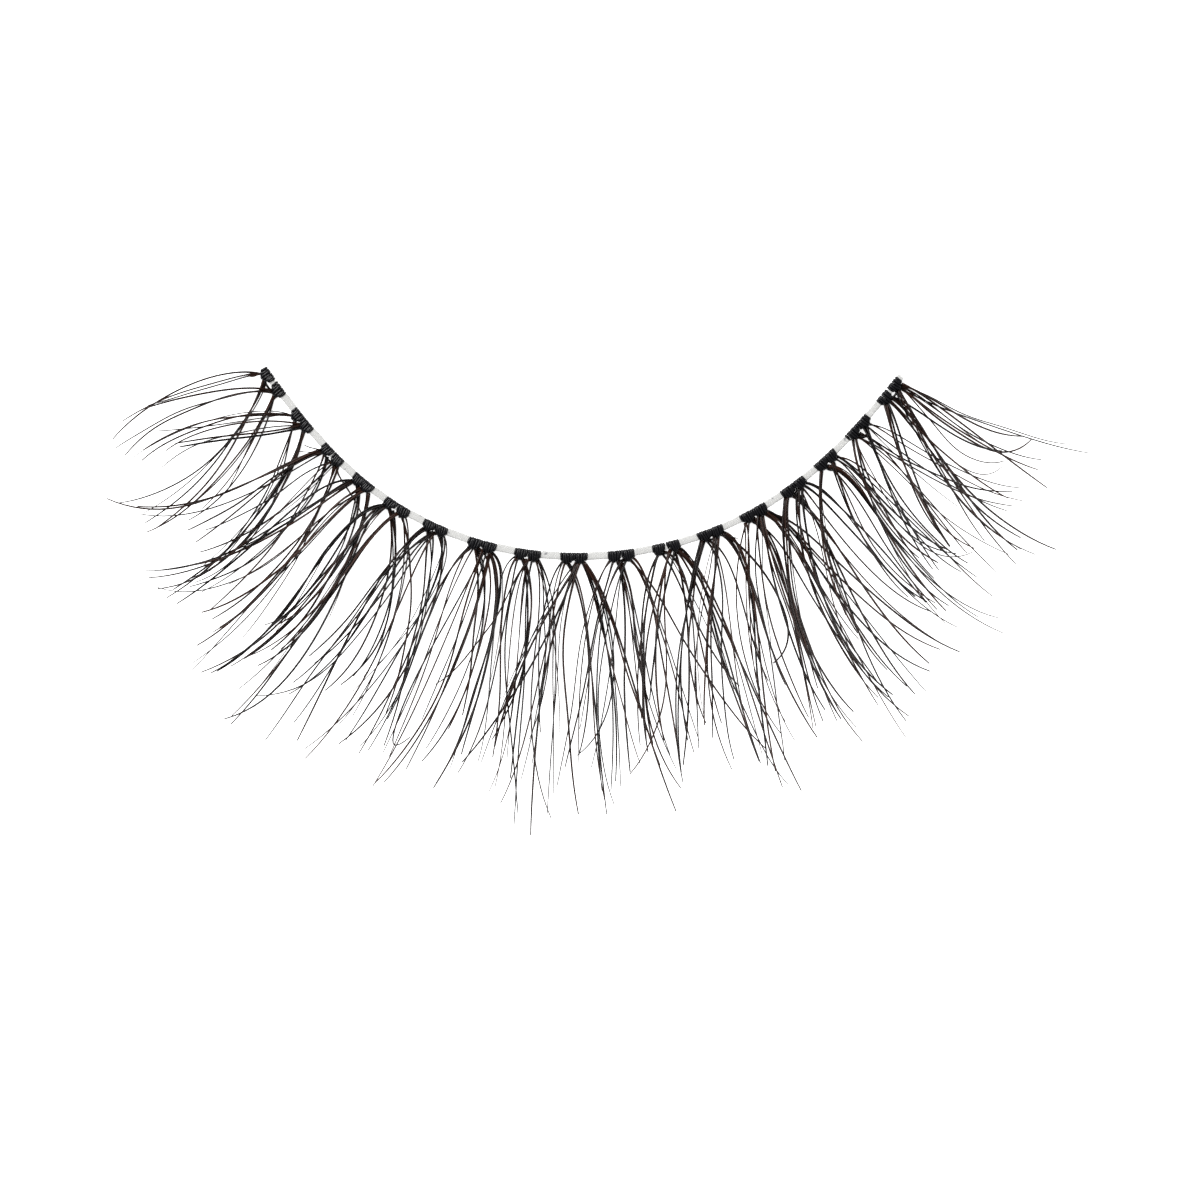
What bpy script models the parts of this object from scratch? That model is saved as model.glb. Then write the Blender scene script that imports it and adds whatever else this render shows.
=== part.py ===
"""A strip of false eyelashes, in metres, lying on a table with +Z up.

A clear filament is bent into a shallow U. Black knots are tied round it in pairs, and a fan of dark hair leaves
each pair. The origin is on the table, under the U's inner edge at its lowest point. +X runs to the strip's
right, the hairs point to -Y, and they curl up from the table to fine tips.
"""

import math

import bmesh
import bpy
import numpy as np

MM = 0.001

# The band's U: the length of each half along its inner edge, the quarter wave of its turn from +X, the size of
# that wave and the size of the faster one that flattens the middle
LEFT_LENGTH = 16.38 * MM
RIGHT_LENGTH = 16.64 * MM
LEFT_WAVE = 16.53 * MM
RIGHT_WAVE = 16.72 * MM
LEFT_TURN = math.radians(50.2)
RIGHT_TURN = math.radians(47.1)
LEFT_BOW = math.radians(3.9)
RIGHT_BOW = math.radians(3.6)
EDGE_STEP = 0.01 * MM

# The band's section: distances out from its inner edge and heights above the table
BAND_NEAR = 0.02 * MM
BAND_FAR = 0.33 * MM
BAND_BOTTOM = 0.10 * MM
BAND_TOP = 0.35 * MM
BAND_CHAMFER = 0.06 * MM
BAND_STATIONS = 53

# A knot is a sleeve round the band, with a beak on the side of the hairs
KNOT_HEIGHT = 0.45 * MM
KNOT_WALL = 0.035 * MM
SLEEVE_GAP = 0.015 * MM
BEAK_LENGTH = 0.14 * MM
BEAK_WIDTH = 0.28 * MM
BEAK_INSET = 0.08 * MM

# The head of a fan is a bar under its two knots' beaks
HEAD_GAP = 0.02 * MM
HEAD_DEPTH = 0.16 * MM
HEAD_OVERHANG = 0.15 * MM
HEAD_BOTTOM = 0.06 * MM
HEAD_TOP = 0.38 * MM

# A lock: its width at the root and near the tip, and the places of its sections along it
LOCK_ROOT_WIDTH = 0.085 * MM
LOCK_TIP_WIDTH = 0.045 * MM
LOCK_SECTIONS = (0.09, 0.22, 0.38, 0.58, 0.80)
LOCK_FLATNESS = 0.8

# The line of a lock seen from above: the share of its length on which it keeps its lean, the share on which
# it arrives at its tip, how far it fans out within a wing, how far the outer ones sweep outwards, and how far the
# wings that lean left beyond a point near the left end droop instead
LEAST_CARRY = 0.11
MOST_CARRY = 0.23
ARRIVE = 0.40
LEAN_SPREAD = 12.0
OUTWARD_SWEEP = 17.0
SWEEP_REACH = 8.0 * MM
DROOP = 14.0
DROOP_BEYOND = -11.6 * MM

# The line of a lock seen from the side: it settles to a belly near the table and then curls up
BELLY_AT = 0.35
BELLY_HEIGHT = 0.06 * MM
BELLY_STEP = 0.09 * MM
BELLY_LAYERS = 3
CURL_POWER = 1.8
LEAST_LIFT = 0.22
MOST_LIFT = 0.32

# A share that never repeats, which spreads the locks without a pattern
GOLDEN = (math.sqrt(5) - 1) / 2

# A tie's middle along the band, the distance between its two knots and their width, in millimetres
TIES = (
    (-15.68, 0.78, 0.65),
    (-13.62, 0.60, 0.58),
    (-11.65, 0.58, 0.53),
    (-9.87, 0.53, 0.51),
    (-8.09, 0.58, 0.56),
    (-6.24, 0.55, 0.53),
    (-4.09, 0.62, 0.60),
    (-2.10, 0.56, 0.54),
    (-0.12, 0.60, 0.58),
    (1.91, 0.57, 0.55),
    (3.86, 0.61, 0.54),
    (5.85, 0.59, 0.57),
    (7.88, 0.63, 0.61),
    (9.91, 0.61, 0.58),
    (11.72, 0.58, 0.56),
    (13.68, 0.65, 0.63),
    (15.76, 0.73, 0.62),
)

# A wing of hair, in millimetres from the origin: its knot, its lean at the root in degrees from square to the
# band, the tips of its first and last lock seen from above, and how many locks it has
WINGS = (
    (1, -29, -18.4, 6.5, -20.0, 4.9, 3),
    (1, 46, -19.2, 1.9, -18.3, 1.4, 3),
    (2, -32, -18.5, 6.4, -19.7, 4.3, 3),
    (2, 44, -18.2, 1.0, -15.9, 2.3, 3),
    (3, -43, -18.0, 5.4, -19.1, 3.9, 3),
    (3, 46, -16.2, -0.9, -15.4, -0.6, 3),
    (4, -42, -17.4, 5.0, -17.9, 3.9, 3),
    (4, 45, -17.9, -1.5, -16.9, -1.7, 3),
    (5, -38, -19.0, 1.9, -16.0, 0.6, 4),
    (5, 44, -17.0, -1.4, -15.2, -2.3, 3),
    (6, -30, -15.5, 1.1, -16.4, -1.1, 3),
    (6, 44, -15.9, -2.9, -14.6, -3.7, 3),
    (7, -38, -18.4, -0.8, -16.9, -2.0, 3),
    (7, 34, -13.3, -2.9, -12.6, -3.2, 3),
    (8, -38, -15.7, -2.2, -16.3, -4.6, 3),
    (8, 40, -13.3, -4.4, -12.2, -3.9, 3),
    (9, -38, -15.6, -5.1, -13.0, -4.1, 4),
    (9, 42, -10.6, -5.9, -9.0, -5.0, 4),
    (10, -40, -13.5, -4.1, -14.6, -7.1, 3),
    (10, 42, -10.2, -7.3, -8.4, -6.3, 3),
    (11, -38, -11.9, -4.9, -11.5, -7.5, 3),
    (11, 36, -9.3, -8.4, -8.2, -8.3, 3),
    (12, -42, -11.1, -4.8, -12.9, -7.8, 3),
    (12, 42, -11.3, -8.5, -9.4, -7.6, 3),
    (13, -26, -9.2, -8.3, -7.6, -8.2, 3),
    (13, 47, -6.6, -9.1, -4.9, -6.6, 3),
    (14, -14, -8.4, -9.5, -7.0, -9.2, 3),
    (14, 46, -6.2, -9.6, -5.0, -8.5, 4),
    (15, -42, -4.9, -9.0, -3.6, -8.2, 3),
    (15, 38, -3.6, -7.6, -2.6, -9.7, 3),
    (16, -36, -3.9, -9.2, -2.7, -10.8, 3),
    (16, 36, -2.0, -7.1, -1.4, -11.0, 3),
    (17, -40, -3.1, -10.4, -1.2, -7.8, 3),
    (17, 42, 0.4, -8.4, 1.3, -11.0, 3),
    (18, -38, -4.9, -9.0, -3.4, -8.0, 3),
    (18, 48, 1.1, -9.7, 3.3, -8.4, 4),
    (19, -36, -1.0, -9.9, 0.2, -8.7, 3),
    (19, 38, 3.1, -8.2, 4.2, -9.0, 3),
    (20, -36, 0.9, -9.2, 1.4, -10.4, 3),
    (20, 42, 4.2, -9.4, 5.6, -8.0, 3),
    (21, -38, 2.4, -8.0, 3.3, -8.0, 3),
    (21, 44, 5.2, -8.6, 7.0, -5.4, 3),
    (22, -38, 3.3, -5.9, 4.4, -9.9, 3),
    (22, 42, 7.6, -8.6, 9.0, -9.8, 4),
    (23, -34, 4.1, -9.4, 5.8, -6.8, 3),
    (23, 38, 6.5, -9.0, 8.1, -5.3, 3),
    (24, -30, 5.4, -7.4, 6.7, -8.8, 3),
    (24, 44, 8.7, -8.9, 10.0, -7.6, 4),
    (25, -36, 8.1, -5.4, 8.8, -7.7, 3),
    (25, 44, 10.3, -7.2, 13.2, -6.0, 4),
    (26, -30, 9.5, -6.6, 11.0, -6.6, 3),
    (26, 42, 13.0, -6.1, 15.6, -4.2, 4),
    (27, -40, 10.9, -6.6, 12.0, -7.6, 3),
    (27, 24, 13.7, -6.9, 15.4, -3.4, 4),
    (28, -40, 12.3, -5.6, 14.1, -6.8, 3),
    (28, 36, 14.2, -1.6, 16.0, -3.4, 4),
    (29, -40, 11.9, -3.1, 13.4, -5.2, 3),
    (29, 38, 15.4, -2.2, 17.6, -2.6, 4),
    (30, -40, 14.1, -1.5, 15.6, -2.2, 3),
    (30, 38, 17.8, -1.8, 16.0, 0.5, 4),
    (31, -40, 14.4, 0.1, 16.4, -2.5, 3),
    (31, 24, 17.6, -1.0, 18.6, 2.7, 4),
    (32, -38, 15.2, -0.7, 17.1, -0.5, 3),
    (32, 34, 18.3, 1.8, 18.5, 2.9, 3),
    (33, -36, 15.3, 0.9, 16.8, 0.1, 3),
    (33, 26, 18.8, -0.3, 18.0, 4.5, 4),
    (34, -24, 17.5, 0.5, 19.7, 0.1, 3),
    (34, 14, 20.0, 2.8, 19.2, 4.9, 4),
)

# A long or hooked hair that stands out from the wings: its knot, its lean at the root in degrees, its tip in
# millimetres and the direction in which it arrives there, in degrees from +X
OUTLIERS = (
    (5, -38, -20.3, 2.3, 155),
    (1, 40, -18.2, 1.0, 215),
    (7, -36, -18.6, -0.8, 178),
    (8, -36, -18.1, -1.5, 160),
    (9, -30, -16.2, -5.2, 200),
    (8, -18, -16.7, -5.2, 228),
    (10, -20, -14.9, -7.4, 228),
    (9, -28, -15.2, -7.2, 195),
    (12, -26, -13.8, -6.2, 182),
    (12, -15, -11.7, -8.9, 225),
    (14, -14, -8.8, -10.1, 238),
    (14, -14, -7.2, -8.0, 40),
    (16, -40, -6.1, -5.7, 212),
    (16, -10, -2.7, -11.8, 265),
    (18, -22, -2.0, -12.2, 270),
    (16, 36, -1.1, -11.5, 295),
    (18, -26, 0.1, -11.3, 280),
    (18, 44, 0.0, -8.8, 215),
    (19, 16, 2.3, -9.5, 276),
    (22, -36, 2.3, -9.6, 228),
    (18, 46, 4.3, -11.2, 292),
    (20, 42, 8.2, -8.5, 318),
    (22, 6, 4.6, -9.2, 262),
    (22, 40, 9.7, -10.3, 297),
    (24, 48, 8.5, -4.8, 215),
    (26, -26, 10.2, -7.6, 275),
    (26, 40, 15.1, -6.0, 310),
    (26, 38, 14.2, -8.0, 305),
    (26, 48, 15.7, -4.2, 340),
    (30, 36, 17.1, 0.0, 25),
    (29, 30, 18.4, -3.5, 338),
    (33, 38, 18.4, 3.7, 45),
    (34, 8, 19.7, 4.9, 50),
    (34, 14, 22.1, 4.3, 350),
    (34, -24, 20.7, 0.1, 340),
)


def remove_everything():
    """Empties the scene."""
    for thing in list(bpy.data.objects):
        bpy.data.objects.remove(thing, do_unlink=True)


def make_material(name, colour, roughness):
    """A plastic or hair-like finish of one colour, given as linear red, green and blue."""
    material = bpy.data.materials.new(name)
    material.use_nodes = True
    shader = material.node_tree.nodes["Principled BSDF"]
    shader.inputs["Base Color"].default_value = (*colour, 1.0)
    shader.inputs["Roughness"].default_value = roughness
    shader.inputs["Metallic"].default_value = 0.0
    return material


def add_solid(name, points, faces, material):
    """One named object from points and faces, with every face turned outwards."""
    mesh = bpy.data.meshes.new(name)
    mesh.from_pydata([tuple(p) for p in points], [], faces)
    turned = bmesh.new()
    turned.from_mesh(mesh)
    bmesh.ops.recalc_face_normals(turned, faces=turned.faces)
    turned.to_mesh(mesh)
    turned.free()
    mesh.materials.append(material)
    solid = bpy.data.objects.new(name, mesh)
    bpy.context.scene.collection.objects.link(solid)
    return solid


def turn_at(s):
    """The band's turn from +X at a distance s from its lowest point.

    It is a quarter sine out to each end, less a smaller sine that runs three times as fast.
    """
    s = np.asarray(s, dtype=float)
    left, right = 0.5 * math.pi * s / LEFT_WAVE, 0.5 * math.pi * s / RIGHT_WAVE
    left_turn = LEFT_TURN * np.sin(left) - LEFT_BOW * np.sin(3 * left)
    right_turn = RIGHT_TURN * np.sin(right) - RIGHT_BOW * np.sin(3 * right)
    return np.where(s < 0, left_turn, right_turn)


def trace_edge():
    """The inner edge as distances and points, summed in short steps from its turn and set on the origin."""
    s = np.arange(-LEFT_LENGTH, RIGHT_LENGTH + EDGE_STEP, EDGE_STEP)
    middle = turn_at(s[:-1] + EDGE_STEP / 2)
    x = np.concatenate(([0.0], np.cumsum(np.cos(middle)) * EDGE_STEP))
    y = np.concatenate(([0.0], np.cumsum(np.sin(middle)) * EDGE_STEP))
    return s, x - np.interp(0.0, s, x), y - np.interp(0.0, s, y)


EDGE_S, EDGE_X, EDGE_Y = trace_edge()


class Station:
    """A place on the inner edge, with the directions along the band and out towards the hairs."""

    def __init__(self, s):
        turn = float(turn_at(s))
        self.turn = turn
        self.point = np.array((np.interp(s, EDGE_S, EDGE_X), np.interp(s, EDGE_S, EDGE_Y)))
        self.along = np.array((math.cos(turn), math.sin(turn)))
        self.out = np.array((math.sin(turn), -math.cos(turn)))

    def at(self, along, out, height):
        """A point in space at these distances along the band, out from its inner edge and above the table."""
        x, y = self.point + along * self.along + out * self.out
        return (x, y, height)


def knot_places():
    """The distance along the band and the width of each of the knots, from left to right."""
    places = []
    for middle, spacing, width in TIES:
        places.append(((middle - spacing / 2) * MM, width * MM))
        places.append(((middle + spacing / 2) * MM, width * MM))
    return places


def ring_faces(first, second, count):
    """The faces that join two rings of points, given by the index of each ring's first point."""
    faces = []
    for i in range(count):
        j = (i + 1) % count
        faces.append((first + i, first + j, second + j, second + i))
    return faces


def add_band(material):
    """The clear filament: a rectangle with its four corners cut off, carried along the U."""
    low, high, cut = BAND_BOTTOM, BAND_TOP, BAND_CHAMFER
    section = (
        (BAND_NEAR + cut, low),
        (BAND_FAR - cut, low),
        (BAND_FAR, low + cut),
        (BAND_FAR, high - cut),
        (BAND_FAR - cut, high),
        (BAND_NEAR + cut, high),
        (BAND_NEAR, high - cut),
        (BAND_NEAR, low + cut),
    )
    sides = len(section)
    points = []
    for s in np.linspace(-LEFT_LENGTH, RIGHT_LENGTH, BAND_STATIONS):
        station = Station(s)
        points += [station.at(0.0, out, height) for out, height in section]
    faces = [tuple(range(sides)), tuple(range(len(points) - sides, len(points)))]
    for i in range(BAND_STATIONS - 1):
        faces += ring_faces(i * sides, (i + 1) * sides, sides)
    return add_solid("band", points, faces, material)


def add_knot(name, place, width, material):
    """A knot: a square sleeve round the band, with a wedge on its hair side that narrows to the beak."""
    station = Station(place)
    half, beak = width / 2, BEAK_WIDTH / 2
    inner_near, inner_far = BAND_NEAR - SLEEVE_GAP, BAND_FAR + SLEEVE_GAP
    inner_low, inner_high = BAND_BOTTOM - SLEEVE_GAP, BAND_TOP + SLEEVE_GAP
    near, far = inner_near - KNOT_WALL, inner_far + KNOT_WALL
    outer = ((near, 0.0), (far, 0.0), (far, KNOT_HEIGHT), (near, KNOT_HEIGHT))
    inner = (
        (inner_near, inner_low),
        (inner_far, inner_low),
        (inner_far, inner_high),
        (inner_near, inner_high),
    )
    tip, low, high = far + BEAK_LENGTH, BEAK_INSET, KNOT_HEIGHT - BEAK_INSET
    points = []
    for side in (-half, half):
        points += [station.at(side, out, height) for out, height in outer]
        points += [station.at(side, out, height) for out, height in inner]
    points += [station.at(side, tip, height) for side, height in
               ((-beak, low), (beak, low), (beak, high), (-beak, high))]
    left_outer, left_inner, right_outer, right_inner, wedge = 0, 4, 8, 12, 16
    faces = ring_faces(left_outer, left_inner, 4)
    faces += ring_faces(right_outer, right_inner, 4)
    faces += ring_faces(left_inner, right_inner, 4)
    sleeve = ring_faces(left_outer, right_outer, 4)
    hair_side = sleeve.pop(1)
    faces += sleeve
    left_low, left_high, right_high, right_low = hair_side
    corners = (left_low, right_low, right_high, left_high)
    for i in range(4):
        j = (i + 1) % 4
        faces.append((corners[i], corners[j], wedge + j, wedge + i))
    faces.append(tuple(range(wedge, wedge + 4)))
    return add_solid(name, points, faces, material)


def plan_line(start, lean, base, tip, arrival, share):
    """A lock seen from above, as the four points of a cubic curve.

    It leaves its start at the lean from square to the band, for longer the larger its share is, and arrives at
    its tip in the given direction. With no direction given it goes on as it comes, and the outer locks sweep
    outwards, but the left-hand wings at the left end droop.
    """
    reach = math.dist(start, tip)
    leave = base + math.radians(lean)
    carry = (LEAST_CARRY + (MOST_CARRY - LEAST_CARRY) * share) * reach
    second = (start[0] + carry * math.cos(leave), start[1] + carry * math.sin(leave))
    if arrival is None:
        sweep = OUTWARD_SWEEP * max(-1.0, min(1.0, start[0] / SWEEP_REACH))
        if lean < 0 and start[0] < DROOP_BEYOND:
            sweep = DROOP
        direction = math.atan2(tip[1] - second[1], tip[0] - second[0]) + math.radians(sweep)
    else:
        direction = math.radians(arrival)
    third = (tip[0] - ARRIVE * reach * math.cos(direction), tip[1] - ARRIVE * reach * math.sin(direction))
    return np.array((start, second, third, tip))


def on_curve(points, v):
    """The point and the direction at share v of a cubic curve."""
    a, b, c, d = points
    w = 1.0 - v
    point = w ** 3 * a + 3 * w ** 2 * v * b + 3 * w * v ** 2 * c + v ** 3 * d
    slope = 3 * w ** 2 * (b - a) + 6 * w * v * (c - b) + 3 * v ** 2 * (d - c)
    return point, slope / np.linalg.norm(slope)


def height_at(v, root, belly, rise):
    """The height at share v of a lock: a parabola down to its belly, then a power curve up to its tip."""
    if v < BELLY_AT:
        return belly + (root - belly) * (1.0 - v / BELLY_AT) ** 2
    return belly + rise * ((v - BELLY_AT) / (1.0 - BELLY_AT)) ** CURL_POWER


def tie_locks(tie):
    """The locks of one tie, in two rows: those that lean left and those that lean right.

    A lock is its lean, its tip, the direction in which it arrives and a share that sets its lift. A wing's
    locks gather towards its first and its last tip. Each row is in order of lean, so that the locks fan out
    from the head and don't cross at the root.
    """
    rows = ([], [])
    count = 0
    for knot, lean, first_x, first_y, last_x, last_y, locks in WINGS:
        for i in range(locks):
            count += 1
            share = (count * GOLDEN) % 1.0
            even = (i + 0.15 + 0.7 * share) / locks
            across = even * even * (3.0 - 2.0 * even)
            tip = (
                (first_x + (last_x - first_x) * across) * MM,
                (first_y + (last_y - first_y) * across) * MM,
            )
            if (knot - 1) // 2 == tie:
                rows[lean > 0].append((lean + LEAN_SPREAD * (across - 0.5), tip, None, share))
    for i, (knot, lean, x, y, arrival) in enumerate(OUTLIERS):
        if (knot - 1) // 2 == tie:
            rows[lean > 0].append((lean, (x * MM, y * MM), arrival, (i * GOLDEN) % 1.0))
    return [sorted(row, key=lambda lock: lock[0]) for row in rows]


def corner_fan(left, right, chain):
    """Triangles that fill a flat face whose one edge is a chain of points and whose far corners are two."""
    half = len(chain) // 2
    faces = [(left, chain[i], chain[i + 1]) for i in range(half)]
    faces += [(right, chain[i], chain[i + 1]) for i in range(half, len(chain) - 1)]
    faces.append((left, chain[half], right))
    return faces


def add_lock(points, faces, cell, line, root_height, belly, rise):
    """A lock grown out of a four-cornered cell of the head: triangular sections that shrink to a tip."""
    low_left, low_right, high_right, high_left = cell
    before = None
    for v in LOCK_SECTIONS:
        (x, y), (dx, dy) = on_curve(line, v)
        height = height_at(v, root_height, belly, rise)
        width = LOCK_ROOT_WIDTH + (LOCK_TIP_WIDTH - LOCK_ROOT_WIDTH) * v
        deep = width * LOCK_FLATNESS
        first = len(points)
        points.append((x + dy * width / 2, y - dx * width / 2, height - deep / 3))
        points.append((x - dy * width / 2, y + dx * width / 2, height - deep / 3))
        points.append((x, y, height + 2 * deep / 3))
        left, right, top = first, first + 1, first + 2
        if before is None:
            faces.append((low_left, low_right, right, left))
            faces.append((low_right, high_right, top, right))
            faces.append((high_right, high_left, top))
            faces.append((high_left, low_left, left, top))
        else:
            faces += ring_faces(before, first, 3)
        before = first
    end = line[3]
    points.append((end[0], end[1], height_at(1.0, root_height, belly, rise)))
    tip = len(points) - 1
    faces += [(before + i, before + (i + 1) % 3, tip) for i in range(3)]


def add_fan(name, tie, places, material):
    """The hair of one tie: a head bar whose front is a grid of cells in two rows, with a lock from each."""
    middle = (places[2 * tie][0] + places[2 * tie + 1][0]) / 2
    reach = (places[2 * tie + 1][0] - places[2 * tie][0]) / 2 + HEAD_OVERHANG
    station = Station(middle)
    back = BAND_FAR + SLEEVE_GAP + KNOT_WALL + BEAK_LENGTH + HEAD_GAP
    front = back + HEAD_DEPTH
    rows = tie_locks(tie)
    columns = max(len(row) for row in rows)
    levels = (HEAD_BOTTOM, (HEAD_BOTTOM + HEAD_TOP) / 2, HEAD_TOP)
    across = np.linspace(-reach, reach, columns + 1)
    points = [station.at(side, front, level) for level in levels for side in across]
    back_corners = ((-reach, HEAD_BOTTOM), (reach, HEAD_BOTTOM), (reach, HEAD_TOP), (-reach, HEAD_TOP))
    points += [station.at(side, back, level) for side, level in back_corners]
    stride = columns + 1
    low_left, low_right, high_right, high_left = range(3 * stride, 3 * stride + 4)
    faces = [(low_left, low_right, high_right, high_left)]
    faces += corner_fan(low_left, low_right, list(range(stride)))
    faces += corner_fan(high_left, high_right, list(range(2 * stride, 3 * stride)))
    faces += corner_fan(low_left, high_left, [0, stride, 2 * stride])
    faces += corner_fan(low_right, high_right, [columns, stride + columns, 2 * stride + columns])
    base = station.turn - math.pi / 2
    for level, row in ((1, rows[0]), (0, rows[1])):
        root_height = (levels[level] + levels[level + 1]) / 2
        for i in range(columns):
            cell = (
                level * stride + i,
                level * stride + i + 1,
                (level + 1) * stride + i + 1,
                (level + 1) * stride + i,
            )
            if i >= len(row):
                faces.append(cell)
                continue
            lean, tip, arrival, share = row[i]
            start = station.at((across[i] + across[i + 1]) / 2, front, 0.0)[:2]
            line = plan_line(start, lean, base, tip, arrival, share)
            layer = level * BELLY_LAYERS + i % BELLY_LAYERS
            rise = math.dist(start, tip) * (LEAST_LIFT + (MOST_LIFT - LEAST_LIFT) * share)
            belly = BELLY_HEIGHT + layer * BELLY_STEP
            add_lock(points, faces, cell, line, root_height, belly, rise)
    return add_solid(name, points, faces, material)


def main():
    """Builds the band, its knots and the fans of hair."""
    remove_everything()
    clear = make_material("clear_filament", (0.80, 0.80, 0.78), 0.25)
    thread = make_material("black_thread", (0.010, 0.010, 0.014), 0.55)
    hair = make_material("lash_hair", (0.022, 0.012, 0.009), 0.40)
    add_band(clear)
    places = knot_places()
    for i, (place, width) in enumerate(places):
        add_knot(f"knot_{i + 1:02d}", place, width, thread)
    for tie in range(len(TIES)):
        add_fan(f"lashes_{tie + 1:02d}", tie, places, hair)


main()
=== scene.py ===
"""The look of a strip of false eyelashes that lies on a white table, seen from straight above.

Tapered hairs leave black thread knots, two to a tie, which are wound round a clear nylon band. Lengths are in
metres. The origin is on the table under the lowest point of the band's inner edge, +X runs to the strip's
right, the hairs point to -Y, and +Z is up. Place and direction on the band are given by a station: a distance
along its inner edge from the lowest point.
"""

import math

import bpy
import numpy as np
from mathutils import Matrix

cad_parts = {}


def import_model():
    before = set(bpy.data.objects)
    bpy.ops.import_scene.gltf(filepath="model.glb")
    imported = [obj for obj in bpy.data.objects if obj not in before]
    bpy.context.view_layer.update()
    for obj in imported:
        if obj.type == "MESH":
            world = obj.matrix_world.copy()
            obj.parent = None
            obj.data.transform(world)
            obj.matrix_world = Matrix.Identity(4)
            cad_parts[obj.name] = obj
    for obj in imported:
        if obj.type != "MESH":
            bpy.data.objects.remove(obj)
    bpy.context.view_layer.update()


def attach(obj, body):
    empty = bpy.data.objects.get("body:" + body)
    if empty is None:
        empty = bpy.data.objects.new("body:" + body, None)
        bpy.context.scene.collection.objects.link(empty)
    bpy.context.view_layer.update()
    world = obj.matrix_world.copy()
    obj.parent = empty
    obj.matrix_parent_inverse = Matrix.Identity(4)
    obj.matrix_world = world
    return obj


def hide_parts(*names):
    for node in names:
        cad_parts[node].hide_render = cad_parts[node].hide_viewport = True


MM = 0.001
SEED = 17

# The picture is square and shows this width of the table, centred on this point
PICTURE_WIDTH = 52.06 * MM
PICTURE_CENTRE = (1.01 * MM, -2.07 * MM)
CAMERA_HEIGHT = 600 * MM
SENSOR_WIDTH = 36.0

# The band's U: the length of each half along its inner edge, the quarter wave of its turn from +X, the size
# of that wave and the size of the faster one that flattens the middle
LEFT_LENGTH = 16.38 * MM
RIGHT_LENGTH = 16.64 * MM
LEFT_WAVE = 16.53 * MM
RIGHT_WAVE = 16.72 * MM
LEFT_TURN = math.radians(50.2)
RIGHT_TURN = math.radians(47.1)
LEFT_BOW = math.radians(3.9)
RIGHT_BOW = math.radians(3.6)
EDGE_STEP = 0.01 * MM

# The band's section: a flattened filament between these distances out from its inner edge and these heights
BAND_NEAR = -0.02 * MM
BAND_FAR = 0.34 * MM
BAND_BOTTOM = 0.10 * MM
BAND_TOP = 0.35 * MM
BAND_SQUARENESS = 0.38
BAND_AROUND = 28
BAND_STATIONS = 640

# Each end of the band is rounded over this length and starts at this share of its section. The width wavers
# by this share, with two sines that each advance a radian in these lengths.
BAND_END = 0.1 * MM
BAND_END_SHARE = 0.35
BAND_WAVER = 0.02
BAND_WAVES = (0.9 * MM, 0.37 * MM)

# A knot is a thread wound round the band: the thread's radius, how much its twist swells that, the radians of
# that twist, its turns side by side, the turns that cross back over them, and how far these stand up
THREAD_RADIUS = 0.056 * MM
THREAD_SWELL = 0.06
THREAD_TWIST = 90.0
KNOT_TURNS = 6
CROSSING_TURNS = 2
CROSSING_RISE = 0.018 * MM

# Where a knot starts, how far out its middle and its side turns reach and how much that differs, how far it
# presses into its neighbour, and its height
KNOT_NEAR = 0.0 * MM
KNOT_REACH = 0.54 * MM
KNOT_SIDE_REACH = 0.36 * MM
KNOT_UNEVEN = 0.035 * MM
KNOT_SQUASH = 0.04 * MM
KNOT_HEIGHT = 0.43 * MM

# From which share of a turn the thread steps along to the next, how far a turn may slip along the band, by
# what share it may rise or sink, and how steeply a knot may slant
STEP_FROM = 0.65
TURN_SLIP = 0.012 * MM
TURN_RISE = 0.03
KNOT_SLANT = 0.15

# How squared a turn is, how finely a knot is made, and how deep and over what length it bites into the band
TURN_SQUARENESS = 0.5
TURN_POINTS = 36
THREAD_SIDES = 8
BITE = 0.09 * MM
BITE_SLOPE = 0.12 * MM

# Where a wing's hairs start, from the middle of their knot on the inner edge, and half the width, the depth
# and the height of their bundle
ROOT_OUT = 0.40 * MM
ROOT_ASIDE = 0.10 * MM
ROOT_HEIGHT = 0.21 * MM
ROOT_BUNDLE = 0.14 * MM
ROOT_BUNDLE_DEPTH = 0.03 * MM
ROOT_BUNDLE_HEIGHT = 0.07 * MM

# The loop of hair that bridges a tie's knots: how far out it starts, how far inside the middles of the
# knots, and how far it rises
BRIDGE_OUT = 0.40 * MM
BRIDGE_INSET = 0.08 * MM
BRIDGE_RISE = 0.01 * MM

# The line of a hair seen from above: the shares of its length on which it keeps its lean and on which it
# arrives at its tip. Then, in degrees, how much the leans in a wing differ, how far the tips of a wing
# flare apart, how far the outer hairs sweep outwards, and how much a hair strays from that. Beyond a point
# near the left end, the wings that lean left droop instead.
LEAST_CARRY = 0.11
MOST_CARRY = 0.23
ARRIVE = 0.40
LEAN_SCATTER = 12.0
TIP_FLARE = 14.0
OUTWARD_SWEEP = 17.0
ARRIVAL_SCATTER = 5.0
SWEEP_REACH = 8.0 * MM
DROOP = 14.0
DROOP_BEYOND = -11.6 * MM

# How a hair wavers to both sides: the waves along it, from and to, and their size at most as a share of its
# length
WAVES = (0.8, 2.2)
MOST_WAVER = 0.022

# Hairs end by chance a little off the tip of their lock, and at this share of their line, from and to: the
# first hair of a lock, one that clings to it, and a fine one. The tips' scatter is in millimetres. The last
# two also leave with a lean of their own, by so many degrees.
FIRST_SCATTER = 0.16
FIRST_REACH = (1.0, 1.07)
CLINGING_SCATTER = 0.30
CLINGING_REACH = (0.9, 1.06)
CLINGING_LEAN = 5.0
FINE_SCATTER = 0.5
FINE_REACH = (0.7, 0.95)
FINE_LEAN = 12.0

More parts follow.
